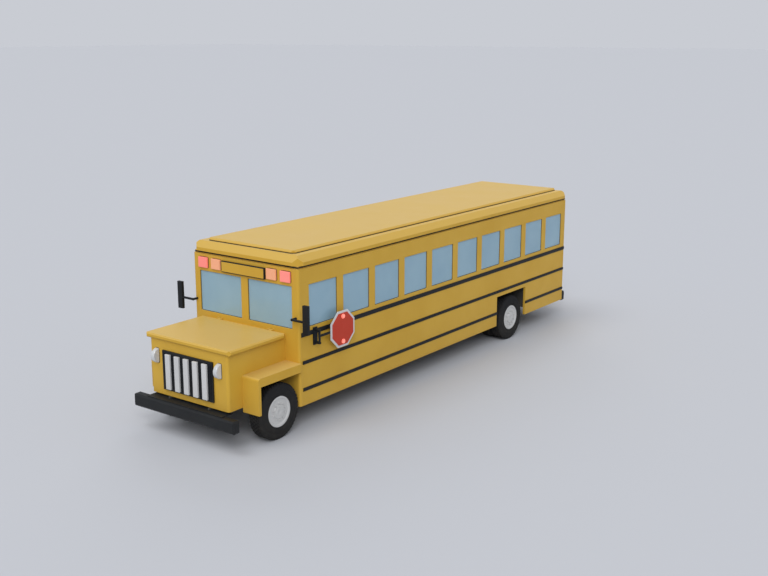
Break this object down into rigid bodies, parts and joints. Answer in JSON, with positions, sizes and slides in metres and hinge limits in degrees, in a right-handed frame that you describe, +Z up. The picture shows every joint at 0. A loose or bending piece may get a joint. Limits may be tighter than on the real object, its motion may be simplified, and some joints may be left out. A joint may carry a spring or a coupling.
{
  "type": "school bus",
  "caption": "Yellow conventional school bus with a square nose, slab hood lid, folding stop arm, two-leaf entry door, rear exit door and steered front wheels.",
  "frame": {"origin": "on the ground, midway between the outer faces of the front and rear bumpers and on the bus's centre plane", "axes": "+Y towards the rear of the bus, +X towards its left (driver's) side, +Z up"},
  "size_m": [3.06, 10.983, 3.032],
  "materials": {
    "yellow_paint": "semi-gloss school bus yellow enamel",
    "black_trim": "matt black",
    "black_bumper": "satin black paint",
    "chassis_paint": "black chassis paint",
    "tank_steel": "dull plated steel",
    "engine_iron": "grey cast iron",
    "floor_rubber": "ribbed black rubber",
    "well_coating": "black underbody coating",
    "clear_glass": "pale blue safety glass",
    "grey_paint": "light grey paint",
    "white_lens": "clear white lens",
    "red_lens": "red lens",
    "amber_lens": "amber lens",
    "white_sheet": "white enamelled sheet",
    "red_sheet": "red enamelled sheet",
    "seat_vinyl": "dark green vinyl",
    "dash_plastic": "dark grained plastic",
    "tyre_rubber": "black tyre rubber"
  },
  "bodies": {
    "bus": {"frame_rails": "chassis_paint", "crossmembers": "chassis_paint", "floor": "floor_rubber", "wheel_wells": "well_coating", "entry_steps": "floor_rubber", "left_side": "yellow_paint", "right_side": "yellow_paint", "door_frame": "yellow_paint", "front_wall": "yellow_paint", "rear_wall": "yellow_paint", "roof": "yellow_paint", "window_glass": "clear_glass", "rub_rails": "black_trim", "nose": "yellow_paint", "grille_panel": "black_trim", "grille_bars": "grey_paint", "headlamps": "white_lens", "fenders": "yellow_paint", "bumpers": "black_bumper", "red_lamps": "red_lens", "amber_lamps": "amber_lens", "sign_box": "black_trim", "sign_face": "yellow_paint", "mirrors": "black_trim", "stop_bracket": "black_trim", "engine": "engine_iron", "front_axle": "chassis_paint", "rear_axle": "chassis_paint", "drive_shaft": "chassis_paint", "leaf_springs": "chassis_paint", "fuel_tank": "tank_steel", "exhaust": "tank_steel", "seats": "seat_vinyl", "dashboard": "dash_plastic", "tow_eyes": "chassis_paint"},
    "hood": {"hood_lid": "yellow_paint"},
    "stop_arm": {"stop_arm": "black_trim", "stop_plate": "white_sheet", "stop_face": "red_sheet"},
    "front_leaf": {"front_leaf": "yellow_paint", "front_leaf_glass": "clear_glass"},
    "rear_leaf": {"rear_leaf": "yellow_paint", "rear_leaf_glass": "clear_glass"},
    "exit_door": {"exit_door": "yellow_paint", "exit_glass": "clear_glass"},
    "left_knuckle": {"left_knuckle": "chassis_paint"},
    "right_knuckle": {"right_knuckle": "chassis_paint"},
    "tie_rod": {"tie_rod": "chassis_paint"},
    "front_left_wheel": {"front_left_tyre": "tyre_rubber", "front_left_wheel": "grey_paint"},
    "front_right_wheel": {"front_right_tyre": "tyre_rubber", "front_right_wheel": "grey_paint"},
    "rear_left_wheels": {"rear_left_tyres": "tyre_rubber", "rear_left_wheels": "grey_paint"},
    "rear_right_wheels": {"rear_right_tyres": "tyre_rubber", "rear_right_wheels": "grey_paint"}
  },
  "joints": [
    {"name": "hood_lift", "type": "hinge", "parent": "bus", "child": "hood", "pos_m": [0, -3.9835, 1.66], "axis": [-1, 0, 0], "range_deg": [0, 60]},
    {"name": "stop_swing", "type": "hinge", "parent": "bus", "child": "stop_arm", "pos_m": [1.325, -3.5685, 1.58], "axis": [0, 0, -1], "range_deg": [0, 90]},
    {"name": "front_leaf_swing", "type": "hinge", "parent": "bus", "child": "front_leaf", "pos_m": [-1.238, -3.8085, 1.42], "axis": [0, 0, 1], "range_deg": [0, 90]},
    {"name": "rear_leaf_swing", "type": "hinge", "parent": "bus", "child": "rear_leaf", "pos_m": [-1.238, -3.0085, 1.42], "axis": [0, 0, -1], "range_deg": [0, 90]},
    {"name": "exit_swing", "type": "hinge", "parent": "bus", "child": "exit_door", "pos_m": [-0.48, 5.3595, 1.72], "axis": [0, 0, 1], "range_deg": [0, 110]},
    {"name": "left_steer", "type": "hinge", "parent": "bus", "child": "left_knuckle", "pos_m": [1.035, -4.4635, 0.48], "axis": [0, 0, 1], "range_deg": [-40, 40]},
    {"name": "right_steer", "type": "hinge", "parent": "bus", "child": "right_knuckle", "pos_m": [-1.035, -4.4635, 0.48], "axis": [0, 0, 1], "range_deg": [-40, 40]},
    {"name": "tie_rod_pivot", "type": "hinge", "parent": "left_knuckle", "child": "tie_rod", "pos_m": [1.035, -4.3235, 0.441], "axis": [0, 0, 1], "range_deg": [-40, 40]},
    {"name": "front_left_spin", "type": "hinge", "parent": "left_knuckle", "child": "front_left_wheel", "pos_m": [1.085, -4.4635, 0.48], "axis": [1, 0, 0], "continuous": true},
    {"name": "front_right_spin", "type": "hinge", "parent": "right_knuckle", "child": "front_right_wheel", "pos_m": [-1.085, -4.4635, 0.48], "axis": [1, 0, 0], "continuous": true},
    {"name": "rear_left_spin", "type": "hinge", "parent": "bus", "child": "rear_left_wheels", "pos_m": [1.085, 2.9615, 0.48], "axis": [1, 0, 0], "continuous": true},
    {"name": "rear_right_spin", "type": "hinge", "parent": "bus", "child": "rear_right_wheels", "pos_m": [-1.085, 2.9615, 0.48], "axis": [1, 0, 0], "continuous": true}
  ],
  "couplings": [
    {"joint": "rear_leaf_swing", "follows": "front_leaf_swing", "ratio": 1},
    {"joint": "right_steer", "follows": "left_steer", "ratio": 1},
    {"joint": "tie_rod_pivot", "follows": "left_steer", "ratio": -1}
  ]
}
